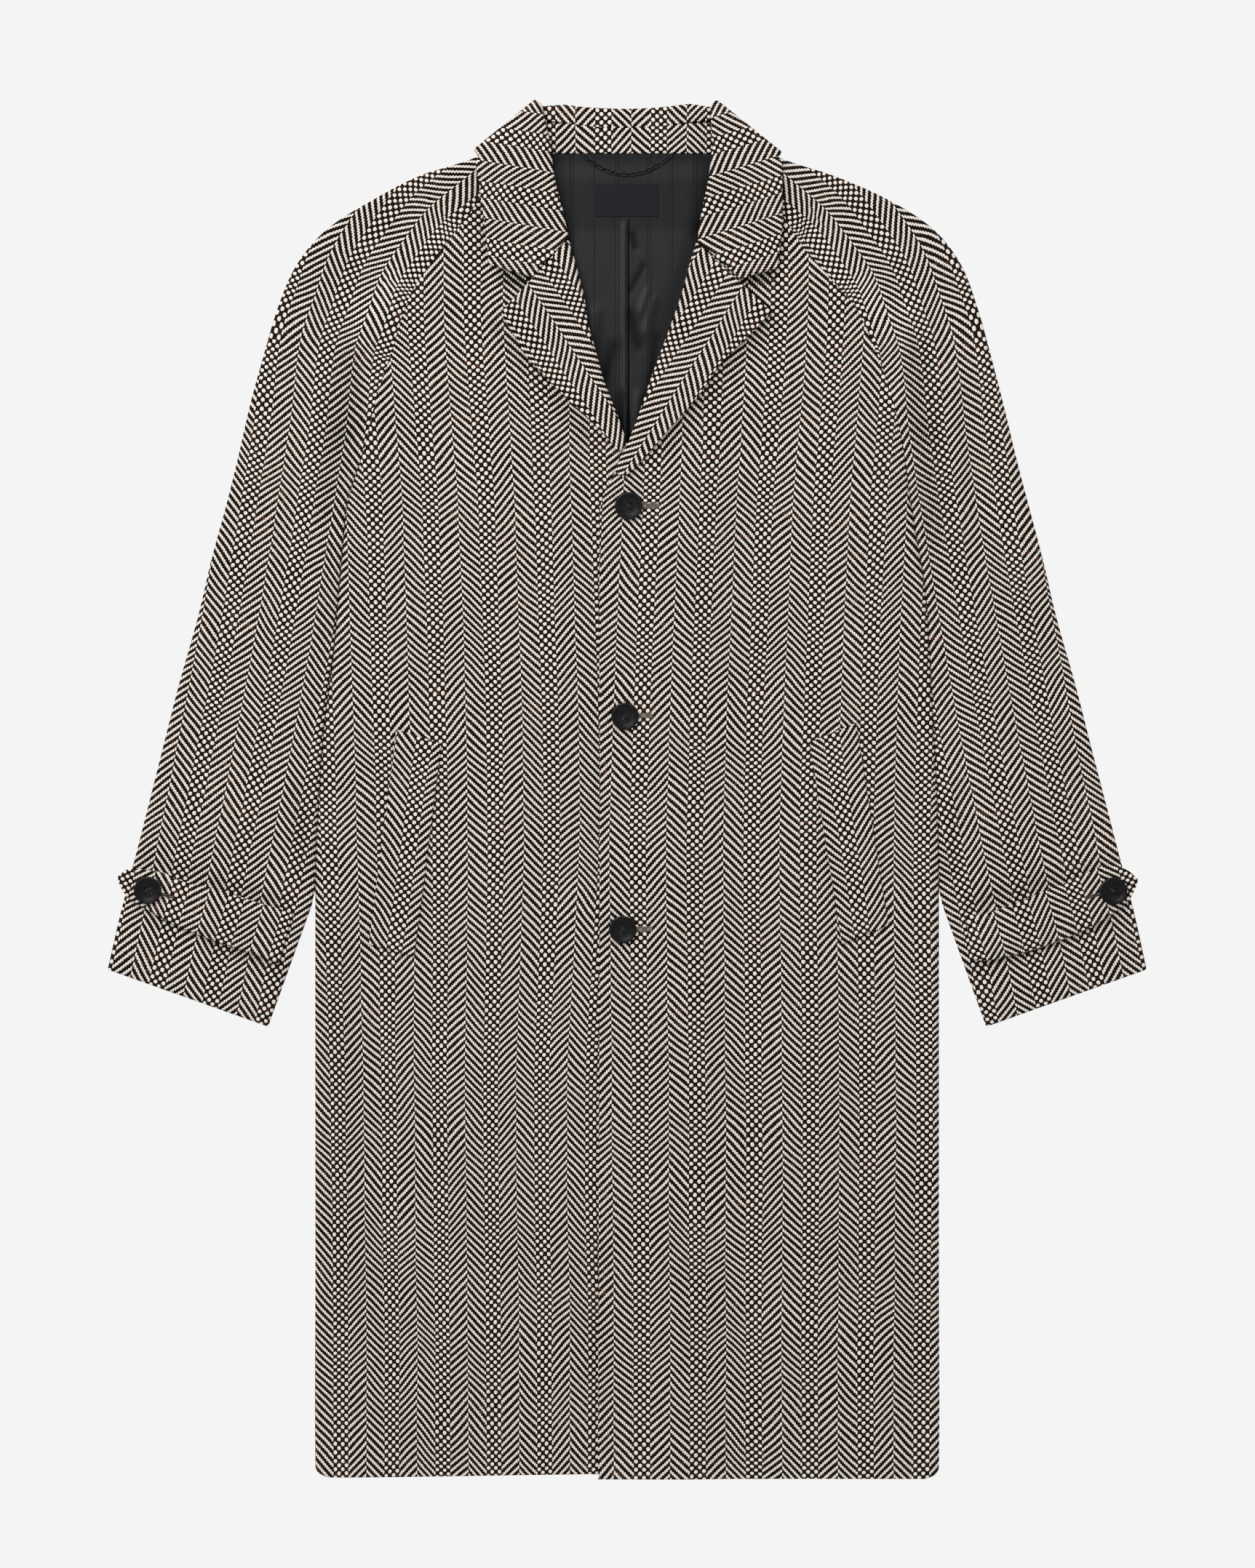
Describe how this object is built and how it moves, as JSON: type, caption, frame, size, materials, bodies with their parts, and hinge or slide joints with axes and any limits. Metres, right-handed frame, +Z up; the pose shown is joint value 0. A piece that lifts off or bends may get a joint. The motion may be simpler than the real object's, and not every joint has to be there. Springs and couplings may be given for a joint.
{
  "type": "wool overcoat",
  "caption": "Single-breasted herringbone wool overcoat with notched lapels, raglan sleeves, cuff tabs, slanted welt pockets and a satin lining, buttoned and laid flat",
  "frame": {"origin": "centre of the bounding box in X and Y, on the surface that the coat lies on", "axes": "+Z is up off the table and looks at the front of the coat, +Y runs from the hem to the collar, +X is the wearer's left"},
  "size_m": [0.872, 1.157, 0.0188],
  "materials": {
    "wool": "heavy herringbone wool, cream and brown-black, matt with a short nap",
    "lining": "black satin lining with woven self stripes and a soft sheen",
    "label": "near-black woven satin label, bare",
    "chain": "blackened steel curb chain",
    "button": "near-black matt horn-look resin with a turned rim"
  },
  "bodies": {
    "root": {"back": "wool", "front_right": "wool", "front_left": "wool", "lapel_right": "wool", "lapel_left": "wool", "cuff_tab_right": "wool", "cuff_tab_left": "wool", "pocket_welt_right": "wool", "pocket_welt_left": "wool", "sleeve_right_front": "wool", "sleeve_right_back": "wool", "sleeve_left_front": "wool", "sleeve_left_back": "wool", "collar_fall": "wool", "collar_stand": "wool", "lining_back": "lining", "label": "label", "hanger_chain": "chain", "button_top": "button", "button_middle": "button", "button_bottom": "button", "button_cuff_right": "button", "button_cuff_left": "button"}
  },
  "joints": []
}
